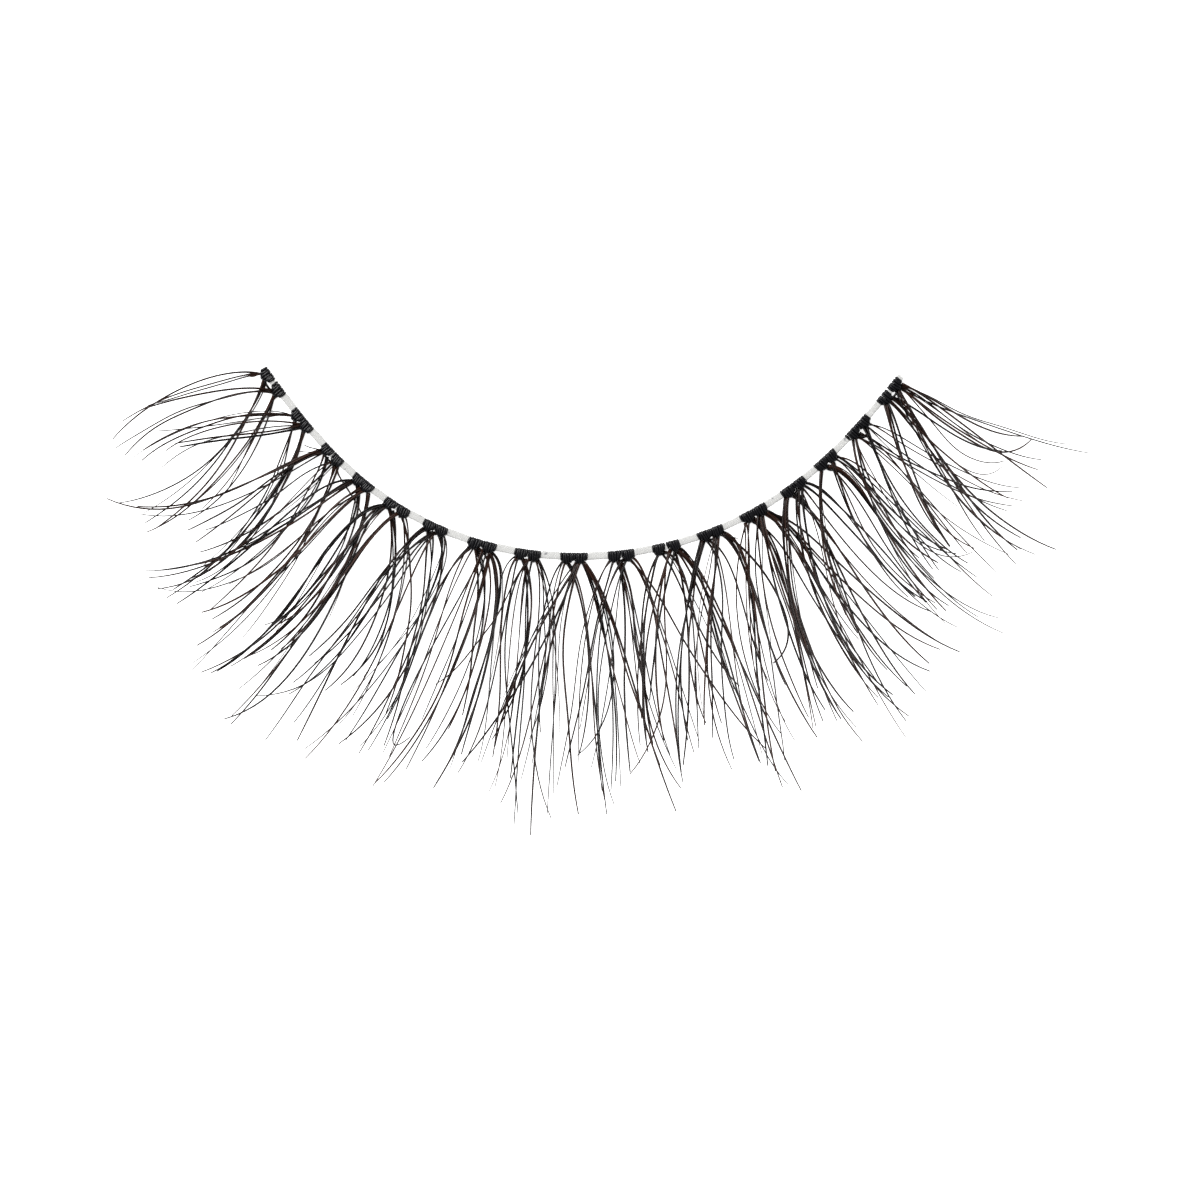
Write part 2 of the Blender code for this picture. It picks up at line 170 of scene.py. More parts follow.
# The line of a hair seen from the side: the share of its length at which it has its belly, the belly's least
# height in the wings that lean right and left, and what chance adds to that. Then the power of the curl, by
# which share of its length the tip rises, from and to, and the greatest height of a tip.
BELLY_AT = 0.35
LOW_BELLY = 0.07 * MM
HIGH_BELLY = 0.34 * MM
BELLY_RANGE = 0.20 * MM
CURL_POWER = 1.8
LEAST_LIFT = 0.22
MOST_LIFT = 0.32
HIGHEST_TIP = 3.72 * MM

# A common and a fine hair's radius, the shares of it that a hair has by chance, from and to, the share left
# at the tip, the share added at the root, and the power that keeps both changes near the ends
HAIR_RADIUS = 0.0385 * MM
FINE_RADIUS = 0.024 * MM
THICKNESS = (0.66, 1.24)
TIP_THICKNESS = 0.58
ROOT_THICKENING = 0.55
TAPER_POWER = 9

# The power that leaves few of the hairs a warm tone
DARK_TONES = 1.5

# The fine hairs of a tie, the share of the clinging hairs that is there, and how finely a hair is made
FINE_HAIRS = 2
CLINGING_SHARE = 0.5
HAIR_POINTS = 30
HAIR_SIDES = 6

GOLDEN = (math.sqrt(5) - 1) / 2

# A tie's middle along the band, the distance between its two knots and their width, in millimetres, and the
# radius and depth of the loop of hair that bridges them
TIES = (
    (-15.68, 0.78, 0.65, 0.05, 0.50),
    (-13.62, 0.60, 0.58, 0.05, 0.50),
    (-11.65, 0.58, 0.53, 0.05, 0.50),
    (-9.87, 0.53, 0.51, 0.05, 0.50),
    (-8.09, 0.58, 0.56, 0.05, 0.50),
    (-6.24, 0.55, 0.53, 0.05, 0.50),
    (-4.09, 0.62, 0.60, 0.05, 0.50),
    (-2.10, 0.56, 0.54, 0.05, 0.50),
    (-0.12, 0.60, 0.58, 0.06, 0.68),
    (1.91, 0.57, 0.55, 0.05, 0.50),
    (3.86, 0.61, 0.54, 0.05, 0.50),
    (5.85, 0.59, 0.57, 0.05, 0.50),
    (7.88, 0.63, 0.61, 0.06, 0.70),
    (9.91, 0.61, 0.58, 0.05, 0.50),
    (11.72, 0.58, 0.56, 0.06, 0.72),
    (13.68, 0.65, 0.63, 0.06, 0.70),
    (15.76, 0.73, 0.62, 0.05, 0.50),
)

# A wing of hair, in millimetres from the origin: its knot, its lean at the root in degrees from square to
# the band, the x and y of the tips of its first and its last lock, its locks, and its hairs at most
WINGS = (
    (1, -26, -18.4, 6.5, -20.0, 4.9, 3, 3),
    (1, 46, -19.2, 1.9, -18.3, 1.4, 3, 3),
    (2, -32, -18.5, 6.4, -19.7, 4.3, 3, 3),
    (2, 44, -18.2, 1.0, -15.9, 2.3, 3, 3),
    (3, -43, -18.0, 5.4, -19.1, 3.9, 3, 3),
    (3, 46, -16.2, -0.9, -15.4, -0.6, 3, 4),
    (4, -42, -17.4, 5.0, -17.9, 3.9, 3, 4),
    (4, 45, -17.9, -1.5, -16.9, -1.7, 3, 4),
    (5, -38, -19.0, 1.9, -16.0, 0.6, 4, 4),
    (5, 44, -17.0, -1.4, -15.2, -2.3, 3, 4),
    (6, -30, -15.5, 1.1, -16.4, -1.1, 3, 3),
    (6, 44, -15.9, -2.9, -14.6, -3.7, 3, 4),
    (7, -38, -18.4, -0.8, -16.9, -2.0, 3, 4),
    (7, 34, -13.3, -2.9, -12.6, -3.2, 3, 3),
    (8, -38, -15.7, -2.2, -16.3, -4.6, 3, 4),
    (8, 40, -13.3, -4.4, -12.2, -3.9, 3, 3),
    (9, -38, -15.6, -5.1, -13.0, -4.1, 4, 5),
    (9, 42, -10.6, -5.9, -9.0, -5.0, 4, 4),
    (10, -40, -13.5, -4.1, -14.6, -7.1, 3, 4),
    (10, 42, -10.2, -7.3, -8.4, -6.3, 3, 4),
    (11, -38, -11.9, -4.9, -11.5, -7.5, 3, 4),
    (11, 36, -9.3, -8.4, -8.2, -8.3, 3, 4),
    (12, -42, -11.1, -4.8, -12.9, -7.8, 3, 4),
    (12, 42, -11.3, -8.5, -9.4, -7.6, 3, 4),
    (13, -26, -9.2, -8.3, -7.6, -8.2, 3, 4),
    (13, 47, -6.6, -9.1, -4.9, -6.6, 3, 4),
    (14, -14, -8.4, -9.5, -7.0, -9.2, 3, 3),
    (14, 46, -6.2, -9.6, -5.0, -8.5, 4, 4),
    (15, -42, -4.9, -9.0, -3.6, -8.2, 3, 4),
    (15, 38, -3.6, -7.6, -2.6, -9.7, 3, 4),
    (16, -36, -3.9, -9.2, -2.7, -10.8, 3, 3),
    (16, 36, -2.0, -7.1, -1.4, -11.0, 3, 3),
    (17, -40, -3.1, -10.4, -1.2, -7.8, 3, 4),
    (17, 42, 0.4, -8.4, 1.3, -11.0, 3, 4),
    (18, -38, -4.9, -9.0, -3.4, -8.0, 3, 4),
    (18, 48, 1.1, -9.7, 3.3, -8.4, 4, 5),
    (19, -36, -1.0, -9.9, 0.2, -8.7, 3, 4),
    (19, 38, 3.1, -8.2, 4.2, -9.0, 3, 4),
    (20, -36, 0.9, -9.2, 1.4, -10.4, 3, 3),
    (20, 42, 4.2, -9.4, 5.6, -8.0, 3, 4),
    (21, -38, 2.4, -8.0, 3.3, -8.0, 3, 4),
    (21, 44, 5.2, -8.6, 7.0, -5.4, 3, 4),
    (22, -38, 3.3, -5.9, 4.4, -9.9, 3, 3),
    (22, 42, 7.6, -8.6, 9.0, -9.8, 4, 5),
    (23, -34, 4.1, -9.4, 5.8, -6.8, 3, 4),
    (23, 38, 6.5, -9.0, 8.1, -5.3, 3, 4),
    (24, -30, 5.4, -7.4, 6.7, -8.8, 3, 3),
    (24, 44, 8.7, -8.9, 10.0, -7.6, 4, 5),
    (25, -36, 8.1, -5.4, 8.8, -7.7, 3, 4),
    (25, 44, 10.3, -7.2, 13.2, -6.0, 4, 5),
    (26, -30, 9.5, -6.6, 11.0, -6.6, 3, 4),
    (26, 42, 13.0, -6.1, 15.6, -4.2, 4, 5),
    (27, -40, 10.9, -6.6, 12.0, -7.6, 3, 4),
    (27, 24, 13.7, -6.9, 15.4, -3.4, 4, 5),
    (28, -40, 12.3, -5.6, 14.1, -6.8, 3, 4),
    (28, 36, 14.2, -1.6, 16.0, -3.4, 4, 5),
    (29, -40, 11.9, -3.1, 13.4, -5.2, 3, 3),
    (29, 38, 15.4, -2.2, 17.6, -2.6, 4, 5),
    (30, -40, 14.1, -1.5, 15.6, -2.2, 3, 4),
    (30, 38, 17.8, -1.8, 16.0, 0.5, 4, 5),
    (31, -40, 14.4, 0.1, 16.4, -2.5, 3, 4),
    (31, 24, 17.6, -1.0, 18.6, 2.7, 4, 5),
    (32, -38, 15.2, -0.7, 17.1, -0.5, 3, 4),
    (32, 34, 18.3, 1.8, 18.5, 2.9, 3, 4),
    (33, -36, 15.3, 0.9, 16.8, 0.1, 3, 4),
    (33, 26, 18.8, -0.3, 18.0, 4.5, 4, 5),
    (34, -24, 17.5, 0.5, 19.7, 0.1, 3, 3),
    (34, 14, 20.0, 2.8, 19.2, 4.9, 4, 4),
)

# A long or hooked hair that stands out from the wings: its knot, its lean at the root in degrees, its tip
# in millimetres and the direction in which it arrives there, in degrees from +X
OUTLIERS = (
    (5, -38, -20.3, 2.3, 155),
    (1, 40, -18.2, 1.0, 215),
    (7, -36, -18.6, -0.8, 178),
    (8, -36, -18.1, -1.5, 160),
    (9, -30, -16.2, -5.2, 200),
    (8, -18, -16.7, -5.2, 228),
    (10, -20, -14.9, -7.4, 228),
    (9, -28, -15.2, -7.2, 195),
    (12, -26, -13.8, -6.2, 182),
    (12, -15, -11.7, -8.9, 225),
    (14, -14, -8.8, -10.1, 238),
    (14, -14, -7.2, -8.0, 40),
    (16, -40, -6.1, -5.7, 212),
    (16, -10, -2.7, -11.8, 265),
    (18, -22, -2.0, -12.2, 270),
    (16, 36, -1.1, -11.5, 295),
    (18, -26, 0.1, -11.3, 280),
    (18, 44, 0.0, -8.8, 215),
    (19, 16, 2.3, -9.5, 276),
    (22, -36, 2.3, -9.6, 228),
    (18, 46, 4.3, -11.2, 292),
    (20, 42, 8.2, -8.5, 318),
    (22, 6, 4.6, -9.2, 262),
    (22, 40, 9.7, -10.3, 297),
    (24, 48, 8.5, -4.8, 215),
    (26, -26, 10.2, -7.6, 275),
    (26, 40, 15.1, -6.0, 310),
    (26, 38, 14.2, -8.0, 305),
    (26, 48, 15.7, -4.2, 340),
    (30, 36, 17.1, 0.0, 25),
    (29, 30, 18.4, -3.5, 338),
    (33, 38, 18.4, 3.7, 45),
    (34, 8, 19.7, 4.9, 50),
    (34, 14, 22.1, 4.3, 350),
    (34, -24, 20.7, 0.1, 340),
)

# A short hair that strays from its knot, by the same columns
STRAYS = (
    (5, -55, -11.8, 4.65, 150),
    (1, -50, -14.2, 7.65, 150),
    (24, 60, 7.0, 0.6, 350),
    (6, 10, -9.2, 1.4, 290),
    (34, 39, 18.5, 3.95, 20),
)


def turn_at(s):
    """The band's turn from +X at station s.

    It is a quarter sine out to each end, less a smaller sine that runs three times as fast.
    """
    s = np.asarray(s, dtype=float)
    left, right = 0.5 * math.pi * s / LEFT_WAVE, 0.5 * math.pi * s / RIGHT_WAVE
    left_turn = LEFT_TURN * np.sin(left) - LEFT_BOW * np.sin(3 * left)
    right_turn = RIGHT_TURN * np.sin(right) - RIGHT_BOW * np.sin(3 * right)
    return np.where(s < 0, left_turn, right_turn)


def trace_edge():
    """The inner edge as stations and points, summed in short steps from its turn and set on the origin."""
    s = np.arange(-LEFT_LENGTH, RIGHT_LENGTH + EDGE_STEP, EDGE_STEP)
    middle = turn_at(s[:-1] + EDGE_STEP / 2)
    x = np.concatenate(([0.0], np.cumsum(np.cos(middle)) * EDGE_STEP))
    y = np.concatenate(([0.0], np.cumsum(np.sin(middle)) * EDGE_STEP))
    return s, x - np.interp(0.0, s, x), y - np.interp(0.0, s, y)


EDGE_S, EDGE_X, EDGE_Y = trace_edge()


def band_point(s, along, out, height):
    """Points that lie this far along and out from the inner edge at station s, as an array of x, y and z.

    They are the edge's point, plus along times the tangent, plus out times the direction towards the hairs.
    """
    turn = turn_at(s)
    x = np.interp(s, EDGE_S, EDGE_X) + along * np.cos(turn) + out * np.sin(turn)
    y = np.interp(s, EDGE_S, EDGE_Y) + along * np.sin(turn) - out * np.cos(turn)
    return np.stack(np.broadcast_arrays(x, y, height), axis=-1)


def smooth_step(x):
    """0 below 0, 1 above 1, and 3x^2 - 2x^3 in between."""
    x = np.clip(x, 0.0, 1.0)
    return x * x * (3.0 - 2.0 * x)


def tied(s):
    """1 where a tie's thread is wound on the band, and 0 between the ties, with short slopes."""
    table = np.array(TIES) * MM
    past = np.abs(s - table[:, 0]) - (table[:, 1] + table[:, 2]) / 2
    return smooth_step(0.5 - past.min(axis=1, keepdims=True) / BITE_SLOPE)


def rounded(angle, power):
    """A squared circle: cosine and sine, each raised to a power under 1 with its sign kept."""
    c, s = np.cos(angle), np.sin(angle)
    return np.sign(c) * np.abs(c) ** power, np.sign(s) * np.abs(s) ** power


def tube_faces(tubes, rings, sides):
    """The faces of a number of tubes, ring after ring: squares along each, and a flat cap at both ends."""
    tube = np.arange(tubes)[:, None, None] * rings * sides
    ring = np.arange(rings - 1)[None, :, None] * sides
    side = np.arange(sides)[None, None, :]
    after = (side + 1) % sides
    here = tube + ring
    squares = np.stack(
        (here + side, here + sides + side, here + sides + after, here + after), axis=-1
    )
    start = (np.arange(tubes)[:, None] * rings * sides + np.arange(sides)).tolist()
    end = (np.arange(tubes)[:, None] * rings * sides + (rings - 1) * sides + np.arange(sides)[::-1]).tolist()
    return squares.reshape(-1, 4).tolist() + start + end


def tubes(paths, radii, sides):
    """Points of round tubes along paths, as an array by path, by point of the path and by side.

    At each point of a path lies a ring: the point plus its radius times (cos a times level + sin a times
    rise). Level is horizontal and square to the path, and rise is square to both.
    """
    slope = np.gradient(paths, axis=1)
    slope /= np.linalg.norm(slope, axis=2, keepdims=True)
    level = np.stack((slope[..., 1], -slope[..., 0], np.zeros_like(slope[..., 0])), axis=-1)
    level /= np.linalg.norm(level, axis=2, keepdims=True)
    rise = np.cross(level, slope)
    angle = np.arange(sides) * 2 * math.pi / sides
    ring = np.cos(angle)[:, None] * level[:, :, None] + np.sin(angle)[:, None] * rise[:, :, None]
    return paths[:, :, None] + radii[:, :, None, None] * ring


def add_piece(name, points, faces, material, nodes, slot, **values):
    """One smooth piece that stands for CAD nodes, with any values kept as attributes of its points."""
    mesh = bpy.data.meshes.new(name)
    mesh.from_pydata(points.reshape(-1, 3), [], faces)
    for key, value in values.items():
        layer = mesh.attributes.new(key, "FLOAT", "POINT")
        layer.data.foreach_set("value", value.astype(np.float32).ravel())
    mesh.shade_smooth()
    mesh.materials.append(material)
    piece = bpy.data.objects.new(name, mesh)
    bpy.context.scene.collection.objects.link(piece)
    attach(piece, "root")
    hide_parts(*nodes)
    return piece


def linear(hex_colour):
    """An sRGB hex colour as linear red, green, blue and alpha."""
    parts = np.array([int(hex_colour[i : i + 2], 16) / 255 for i in (1, 3, 5)])
    value = np.where(parts <= 0.04045, parts / 12.92, ((parts + 0.055) / 1.055) ** 2.4)
    return (*value.tolist(), 1.0)


def add_node(tree, kind, inputs=None, **settings):
    """Adds one node with its settings, and sets or links each of its inputs."""
    node = tree.nodes.new(kind)
    for key, value in settings.items():
        setattr(node, key, value)
    for key, value in (inputs or {}).items():
        if isinstance(value, bpy.types.NodeSocket):
            tree.links.new(value, node.inputs[key])
        else:
            node.inputs[key].default_value = value
    return node


def start_material(name):
    """A material with an output alone, and its node tree."""
    material = bpy.data.materials.new(name)
    material.use_nodes = True
    material.node_tree.nodes.clear()
    return material, material.node_tree


def finish_material(tree, shader):
    """Joins a shader to the material's output."""
    add_node(tree, "ShaderNodeOutputMaterial", {"Surface": shader.outputs[0]})


def fibre_hair():
    """Dyed polyester lash fibre: near black, with warmer patches at random that are partly uneven dyeing and
    partly painted light getting into it, with a soft shine along it.
    """
    material, tree = start_material("dyed_polyester_hair")
    tone = add_node(tree, "ShaderNodeAttribute", attribute_name="tone")
    where = add_node(tree, "ShaderNodeTexCoord")
    # Uneven dyeing in patches about 0.8 mm long, whose warm brown is partly painted light that stands in for
    # light getting into the fibre
    patches = add_node(
        tree, "ShaderNodeTexNoise", {"Vector": where.outputs["Object"], "Scale": 1200.0, "Detail": 2.0}
    )
    dye_and_painted_glow = add_node(
        tree, "ShaderNodeMath", {0: tone.outputs["Fac"], 1: patches.outputs["Fac"]}, operation="MULTIPLY"
    )
    colour = add_node(
        tree,
        "ShaderNodeMix",
        {"Factor": dye_and_painted_glow.outputs[0], "A": linear("#050303"), "B": linear("#43291e")},
        data_type="RGBA",
    )
    shader = add_node(
        tree,
        "ShaderNodeBsdfPrincipled",
        {"Base Color": colour.outputs["Result"], "Roughness": 0.35, "Specular IOR Level": 0.13, "IOR": 1.55},
    )
    finish_material(tree, shader)
    return material


def knot_thread():
    """Black twisted polyester thread: blue-black, with painted shade that darkens its hollows and lightens
    its ridges, and small glints on its ridges.
    """
    material, tree = start_material("black_polyester_thread")
    where = add_node(tree, "ShaderNodeTexCoord")
    # The thread's own strands, 0.03 mm apart: this noise is their relief, and it also paints shade into the
    # hollows between them
    filament_relief_and_shade = add_node(
        tree, "ShaderNodeTexNoise", {"Vector": where.outputs["Object"], "Scale": 33000.0, "Detail": 3.0}
    )
    # Painted shade: darker where that noise is low, in the hollows between the strands, and lighter on their
    # ridges
    colour = add_node(
        tree,
        "ShaderNodeMix",
        {"Factor": filament_relief_and_shade.outputs["Fac"], "A": linear("#020203"), "B": linear("#0c0c11")},
        data_type="RGBA",
    )
    bump = add_node(
        tree, "ShaderNodeBump", {"Height": filament_relief_and_shade.outputs["Fac"], "Strength": 0.6, "Distance": 0.01 * MM}
    )
    shader = add_node(
        tree,
        "ShaderNodeBsdfPrincipled",
        {
            "Base Color": colour.outputs["Result"],
            "Roughness": 0.3,
            "Specular IOR Level": 0.22,
            "IOR": 1.55,
            "Normal": bump.outputs["Normal"],
        },
    )
    finish_material(tree, shader)
    return material


def clear_nylon():
    """Drawn nylon filament: milky clear, greyer along its rounded sides by painted shade, with a few dark
    specks inside.
    """
    material, tree = start_material("clear_nylon_filament")
    side = add_node(tree, "ShaderNodeAttribute", attribute_name="side")
    where = add_node(tree, "ShaderNodeTexCoord")
    # Painted shade: the band greys towards its rounded sides, by its side attribute, in place of the dark
    # that a real filament refracts there
    clear = add_node(
        tree,
        "ShaderNodeMix",
        {"Factor": side.outputs["Fac"], "A": linear("#cfcfcd"), "B": linear("#c6c6c4")},
        data_type="RGBA",
    )
    # Specks of dust and trapped air, 0.05 to 0.1 mm across and a few millimetres apart
    specks = add_node(
        tree, "ShaderNodeTexNoise", {"Vector": where.outputs["Object"], "Scale": 4200.0, "Detail": 1.0}
    )
    dark = add_node(
        tree,
        "ShaderNodeMapRange",
        {"Value": specks.outputs["Fac"], "From Min": 0.70, "From Max": 0.76, "To Min": 0.0, "To Max": 0.7},
    )
    colour = add_node(
        tree,
        "ShaderNodeMix",
        {"Factor": dark.outputs["Result"], "A": clear.outputs["Result"], "B": linear("#77777c")},
        data_type="RGBA",
    )
    shader = add_node(
        tree,
        "ShaderNodeBsdfPrincipled",
        {
            "Base Color": colour.outputs["Result"],
            "Roughness": 0.22,
            "IOR": 1.53,
            "Specular IOR Level": 0.5,
            "Transmission Weight": 0.25,
        },
    )
    finish_material(tree, shader)
    return material


def table_white():
    """A white light table: it glows a little from below, so that thin hairs throw no shadow on it."""
    material, tree = start_material("white_light_table")
    shader = add_node(
        tree,
        "ShaderNodeBsdfPrincipled",
        {
            "Base Color": linear("#f4f4f4"),
            "Roughness": 0.9,
            "Specular IOR Level": 0.0,
            "Emission Color": linear("#ffffff"),
            "Emission Strength": 0.85,
        },
    )
    finish_material(tree, shader)
    return material


def make_band(material):
    """The clear filament: a flattened squared circle carried along the U.

    At station s and angle a it lies at the middle of the band, plus half its width times cos a outwards and
    half its height times sin a up, both raised to a power that squares the circle. It narrows to a rounded
    end, its width wavers by the product of two sines, and the knots bite into its inner edge.
    """
    s = np.linspace(-LEFT_LENGTH, RIGHT_LENGTH, BAND_STATIONS)[:, None]
    angle = -np.arange(BAND_AROUND)[None, :] * 2 * math.pi / BAND_AROUND
    across, up = rounded(angle, BAND_SQUARENESS)
    left = np.clip((s + LEFT_LENGTH) / BAND_END, 0.0, 1.0)
    right = np.clip((RIGHT_LENGTH - s) / BAND_END, 0.0, 1.0)
    end = BAND_END_SHARE + (1 - BAND_END_SHARE) * np.sqrt(np.minimum(left, right))
    waver = 1 - BAND_WAVER + BAND_WAVER * np.sin(s / BAND_WAVES[0]) * np.sin(s / BAND_WAVES[1])
    near = BAND_NEAR + BITE * tied(s)
    out = (BAND_FAR + near) / 2 + (BAND_FAR - near) / 2 * across * end * waver
    height = (BAND_TOP + BAND_BOTTOM) / 2 + (BAND_TOP - BAND_BOTTOM) / 2 * up * end
    points = band_point(s, 0.0, out, height)
    # Painted shade: how far across the band a point lies, cubed, which greys the band's rounded sides in its
    # material
    side = np.abs(across) ** 3 + np.zeros_like(s)
    faces = tube_faces(1, BAND_STATIONS, BAND_AROUND)
    return add_piece("clear_band", points, faces, material, ["band"], "clear_filament", side=side)


def knot_path(place, width, rng):
    """The centre line of a knot's thread, wound round the band side by side and then back across itself.

    At angle a of its turn it lies out at the middle of the turn plus half its reach times cos a. Its height
    is the middle of the knot plus half the knot's height times sin a. Sine and cosine are raised to a power
    that squares the circle. Under the band, in the last third of a turn, it steps along to the next one. The
    last turns cross back over the others on a slant. The middle turns reach out the furthest, and each one a
    little more or less than its rule.
    """
    turns = KNOT_TURNS + CROSSING_TURNS
    turn = np.linspace(0.0, turns - 0.001, turns * TURN_POINTS)
    whole = np.floor(turn)
    across, up = rounded(2 * math.pi * (turn - whole), TURN_SQUARENESS)
    stepped = smooth_step((turn - whole - STEP_FROM) / (1 - STEP_FROM))
    step = np.minimum(whole + stepped, KNOT_TURNS - 1) / (KNOT_TURNS - 1)
    back = np.clip((turn - KNOT_TURNS) / CROSSING_TURNS, 0.0, 1.0)
    step -= back
    slip = np.interp(turn, np.arange(turns + 1), rng.uniform(-1, 1, turns + 1))
    along = (step - 0.5) * (width + KNOT_SQUASH - 2 * THREAD_RADIUS) + slip * TURN_SLIP
    reach = KNOT_REACH - (KNOT_REACH - KNOT_SIDE_REACH) * (2 * step - 1) ** 2 + slip * KNOT_UNEVEN
    near = KNOT_NEAR + THREAD_RADIUS
    far = reach - THREAD_RADIUS
    out = (far + near) / 2 + (far - near) / 2 * across
    height = KNOT_HEIGHT / 2 + (KNOT_HEIGHT / 2 - THREAD_RADIUS) * (1 + TURN_RISE * slip) * up
    height += CROSSING_RISE * (back > 0) * (0.5 + 0.5 * up)
    slant = rng.uniform(-KNOT_SLANT, KNOT_SLANT) * (out - near)
    return band_point(place, along + slant, out, height)


def make_ties(material):
    """Each tie's two knots, as one piece of wound thread."""
    rng = np.random.default_rng(SEED + 1)
    for tie, (middle, spacing, width, _, _) in enumerate(TIES):
        places = [(middle + side * spacing / 2) * MM for side in (-1, 1)]
        paths = np.array([knot_path(place, width * MM, rng) for place in places])
        twist = np.linspace(0.0, THREAD_TWIST, paths.shape[1]) + tie
        radii = THREAD_RADIUS * (1 + THREAD_SWELL * np.sin(twist)) + np.zeros((2, 1))
        points = tubes(paths, radii, THREAD_SIDES)
        faces = tube_faces(2, paths.shape[1], THREAD_SIDES)
        nodes = [f"knot_{2 * tie + 1:02d}", f"knot_{2 * tie + 2:02d}"]
        add_piece(f"wound_knots_{tie + 1:02d}", points, faces, material, nodes, "black_thread")


def list_hairs(rng):
    """Every hair as a row of numbers.

    These are its knot, its lean, its tip, the direction in which it arrives there if that is set, its place
    across its wing, its lock's share, how much of its line it covers, and 1 for a fine one. A wing has a hair
    for each of its locks. Its other hairs cling to one of these, and leave it towards the tip.
    """
    hairs = []
    count = 0
    for knot, lean, first_x, first_y, last_x, last_y, locks, total in WINGS:
        for i in range(total):
            if i < locks:
                count += 1
                share = (count * GOLDEN) % 1.0
                # Its place in its own lock's part of the wing, drawn towards the wing's two sides
                across = smooth_step((i + 0.15 + 0.7 * share) / locks)
                aside = rng.normal(0.0, FIRST_SCATTER, 2)
                x = first_x + (last_x - first_x) * across + aside[0]
                y = first_y + (last_y - first_y) * across + aside[1]
                bend = lean + rng.normal(0.0, LEAN_SCATTER)
                reach = rng.uniform(*FIRST_REACH)
                hairs.append((knot, bend, x, y, math.nan, across, share, reach, 0))
            else:
                _, bend, x, y, _, across, share, _, _ = hairs[-locks]
                if rng.uniform() > CLINGING_SHARE:
                    continue
                aside = rng.normal(0.0, CLINGING_SCATTER, 2)
                bend += rng.normal(0.0, CLINGING_LEAN)
                reach = rng.uniform(*CLINGING_REACH)
                hairs.append((knot, bend, x + aside[0], y + aside[1], math.nan, across, share, reach, 0))
    for i, (knot, lean, x, y, arrival) in enumerate(OUTLIERS + STRAYS):
        hairs.append((knot, lean, x, y, arrival, 0.5, (i * GOLDEN) % 1.0, 1.0, 0))
    return np.array(hairs + fine_hairs(hairs, rng))


def fine_hairs(hairs, rng):
    """A few thin hairs for each tie: each goes near the tip of one of the tie's own, from a wider lean."""
    fine = []
    for tie in range(len(TIES)):
        own = [hair for hair in hairs if (hair[0] - 1) // 2 == tie]
        for pick in rng.integers(0, len(own), FINE_HAIRS):
            knot, lean, x, y, _, across, share, _, _ = own[pick]
            aside = rng.normal(0.0, FINE_SCATTER, 2)
            bend = lean + rng.normal(0.0, FINE_LEAN)
            reach = rng.uniform(*FINE_REACH)
            fine.append((knot, bend, x + aside[0], y + aside[1], math.nan, across, share, reach, 1))
    return fine


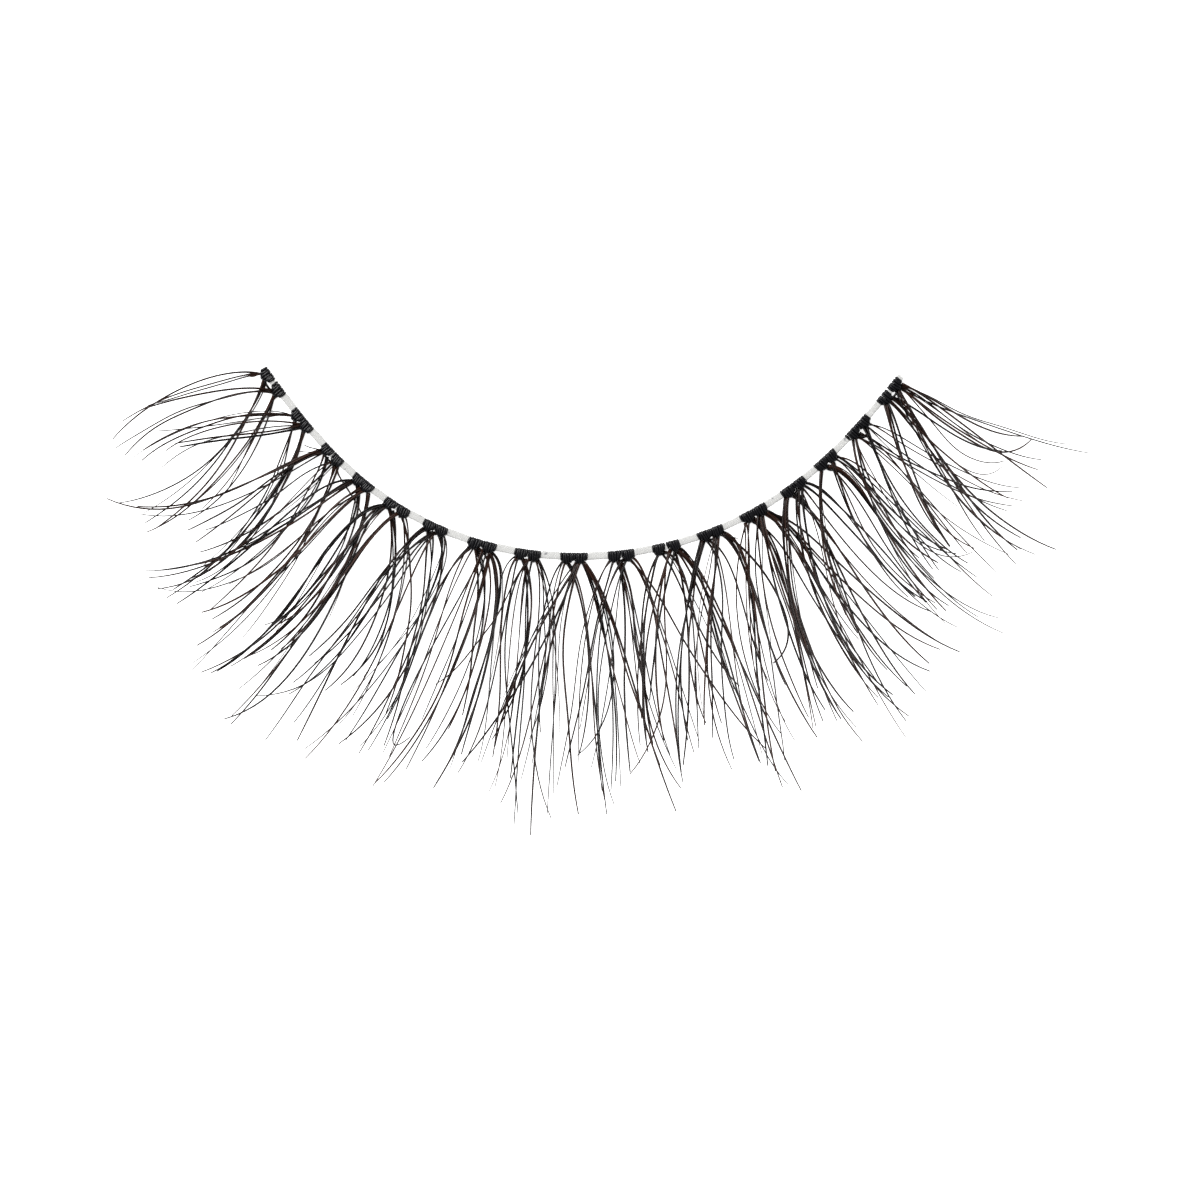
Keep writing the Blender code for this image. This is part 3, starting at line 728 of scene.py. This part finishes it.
def hair_paths(hairs, rng):
    """The centre line and radius of every hair, as arrays by hair and by point.

    Seen from above a hair is a cubic curve from its root to its tip. It leaves at its lean from square to the
    band. It arrives in its own direction or, where that has no value, as it comes, turned by the sweep or the
    droop of its wing and by its flare. It wavers a little to both sides. Seen from the side it is a parabola
    from its root to a belly near the table, then a power curve up.

    Its radius at share u of the way is that of its kind, times its share by chance, times the sum of the
    thickness at the tip, the rest of one times (1 - u^9), and the thickening at the root times (1 - u)^9.
    """
    knot, lean, tip_x, tip_y, arrival, across, share, reach, fine = hairs.T
    n = len(hairs)
    tie = ((knot - 1) // 2).astype(int)
    table = np.array(TIES)
    hand = np.where(knot % 2 == 1, -0.5, 0.5)
    place = (table[tie, 0] + hand * table[tie, 1]) * MM
    side = np.where(lean > 0, 1.0, -1.0)
    aside = side * ROOT_ASIDE + rng.uniform(-1, 1, n) * ROOT_BUNDLE
    out = ROOT_OUT + rng.uniform(-1, 1, n) * ROOT_BUNDLE_DEPTH
    start = band_point(place + aside, 0.0, out, 0.0)[:, :2]
    tip = np.stack((tip_x, tip_y), axis=1) * MM
    length = np.linalg.norm(tip - start, axis=1)
    leave = turn_at(place) - math.pi / 2 + np.radians(lean)
    carry = (LEAST_CARRY + (MOST_CARRY - LEAST_CARRY) * share) * length
    second = start + carry[:, None] * np.stack((np.cos(leave), np.sin(leave)), axis=1)
    come = np.arctan2(tip[:, 1] - second[:, 1], tip[:, 0] - second[:, 0])
    sweep = OUTWARD_SWEEP * np.clip(start[:, 0] / SWEEP_REACH, -1, 1)
    sweep = np.where((side < 0) & (start[:, 0] < DROOP_BEYOND), DROOP, sweep)
    come += np.radians(sweep + TIP_FLARE * (across - 0.5) + rng.normal(0.0, ARRIVAL_SCATTER, n))
    come = np.where(np.isnan(arrival), come, np.radians(arrival))
    third = tip - (ARRIVE * length)[:, None] * np.stack((np.cos(come), np.sin(come)), axis=1)
    v = np.linspace(0.0, 1.0, HAIR_POINTS)[None, :] * reach[:, None]
    w = 1.0 - v
    weights = np.stack((w ** 3, 3 * w ** 2 * v, 3 * w * v ** 2, v ** 3), axis=-1)
    plan = np.einsum("nvk,nkc->nvc", weights, np.stack((start, second, third, tip), axis=1))
    slope = np.gradient(plan, axis=1)
    slope /= np.linalg.norm(slope, axis=2, keepdims=True)
    square = np.stack((-slope[..., 1], slope[..., 0]), axis=-1)
    waves = rng.uniform(*WAVES, (n, 1))
    waver = np.sin(2 * math.pi * (waves * v + rng.uniform(0, 1, (n, 1)))) * v * (1.1 - v)
    plan += square * (waver * length[:, None] * rng.uniform(0.0, MOST_WAVER, (n, 1)))[..., None]
    root = ROOT_HEIGHT + rng.uniform(-1, 1, n) * ROOT_BUNDLE_HEIGHT
    belly = np.where(side > 0, LOW_BELLY, HIGH_BELLY) + rng.uniform(0, 1, n) * BELLY_RANGE
    rise = np.minimum(length * (LEAST_LIFT + (MOST_LIFT - LEAST_LIFT) * share), HIGHEST_TIP - belly)
    down = belly[:, None] + (root - belly)[:, None] * (1 - v / BELLY_AT) ** 2
    up = belly[:, None] + rise[:, None] * np.clip((v - BELLY_AT) / (1 - BELLY_AT), 0, 1) ** CURL_POWER
    height = np.where(v < BELLY_AT, down, up)
    paths = np.concatenate((plan, height[..., None]), axis=-1)
    u = np.linspace(0.0, 1.0, HAIR_POINTS)[None, :]
    thick = np.where(fine > 0, FINE_RADIUS, HAIR_RADIUS)[:, None] * rng.uniform(*THICKNESS, (n, 1))
    taper = TIP_THICKNESS + (1 - TIP_THICKNESS) * (1 - u ** TAPER_POWER)
    return tie, paths, thick * (taper + ROOT_THICKENING * (1 - u) ** TAPER_POWER)


def bridge_path(tie):
    """The loop of hair that joins a tie's two knots: half an ellipse that bulges away from the band."""
    middle, spacing, _, _, depth = np.array(TIES[tie]) * MM
    t = np.linspace(0.0, math.pi, HAIR_POINTS)
    along = -np.cos(t) * (spacing / 2 - BRIDGE_INSET)
    out = BRIDGE_OUT + (depth - BRIDGE_OUT) * np.sin(t)
    return band_point(middle, along, out, ROOT_HEIGHT + BRIDGE_RISE * np.sin(t))


def make_fans(material):
    """One piece of hair for each tie: its hairs, and the loop that bridges its knots."""
    rng = np.random.default_rng(SEED)
    hairs = list_hairs(rng)
    ties, paths, radii = hair_paths(hairs, rng)
    tones = rng.uniform(0.0, 1.0, len(hairs)) ** DARK_TONES
    for tie in range(len(TIES)):
        own = ties == tie
        bridge = bridge_path(tie)[None]
        thick = np.full((1, HAIR_POINTS), TIES[tie][3] * MM)
        lines = np.concatenate((paths[own], bridge))
        points = tubes(lines, np.concatenate((radii[own], thick)), HAIR_SIDES)
        tone = np.append(tones[own], 0.0)[:, None, None] + np.zeros(points.shape[:3])
        faces = tube_faces(len(lines), HAIR_POINTS, HAIR_SIDES)
        name = f"lash_hairs_{tie + 1:02d}"
        add_piece(name, points, faces, material, [f"lashes_{tie + 1:02d}"], "lash_hair", tone=tone)


def make_table(material):
    """The white table, as one square around the strip."""
    half = 1.5
    mesh = bpy.data.meshes.new("table_top")
    square = [(-half, -half, 0.0), (half, -half, 0.0), (half, half, 0.0), (-half, half, 0.0)]
    mesh.from_pydata(square, [], [(0, 1, 2, 3)])
    mesh.materials.append(material)
    table = bpy.data.objects.new("table_top", mesh)
    bpy.context.scene.collection.objects.link(table)


def make_light():
    """An even white room, and a large soft lamp up to the left that gives thread and hair their glints."""
    world = bpy.data.worlds.new("white_room")
    world.use_nodes = True
    background = world.node_tree.nodes["Background"]
    background.inputs["Color"].default_value = (1.0, 1.0, 1.0, 1.0)
    background.inputs["Strength"].default_value = 0.4
    bpy.context.scene.world = world
    lamp = bpy.data.lights.new("soft_lamp", "AREA")
    lamp.size = 0.5
    lamp.energy = 12.0
    holder = bpy.data.objects.new("soft_lamp", lamp)
    holder.location = (-0.35, 0.45, 0.7)
    holder.rotation_euler = (math.radians(-33), math.radians(-27), 0.0)
    bpy.context.scene.collection.objects.link(holder)


def make_camera():
    """A long lens straight above the picture's centre, with +Y up in the picture."""
    lens = bpy.data.cameras.new("camera")
    lens.sensor_width = SENSOR_WIDTH
    lens.lens = SENSOR_WIDTH * CAMERA_HEIGHT / PICTURE_WIDTH
    lens.clip_start = 0.01
    lens.clip_end = 10.0
    camera = bpy.data.objects.new("camera", lens)
    camera.location = (*PICTURE_CENTRE, CAMERA_HEIGHT)
    bpy.context.scene.collection.objects.link(camera)
    bpy.context.scene.camera = camera


def main():
    """Loads the frame, makes the strip's pieces, the table, the light and the camera."""
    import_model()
    bpy.context.scene.view_settings.view_transform = "Standard"
    bpy.context.scene.cycles.use_denoising = False
    make_camera()
    make_light()
    make_table(table_white())
    make_band(clear_nylon())
    make_ties(knot_thread())
    make_fans(fibre_hair())
    bpy.context.view_layer.update()


main()
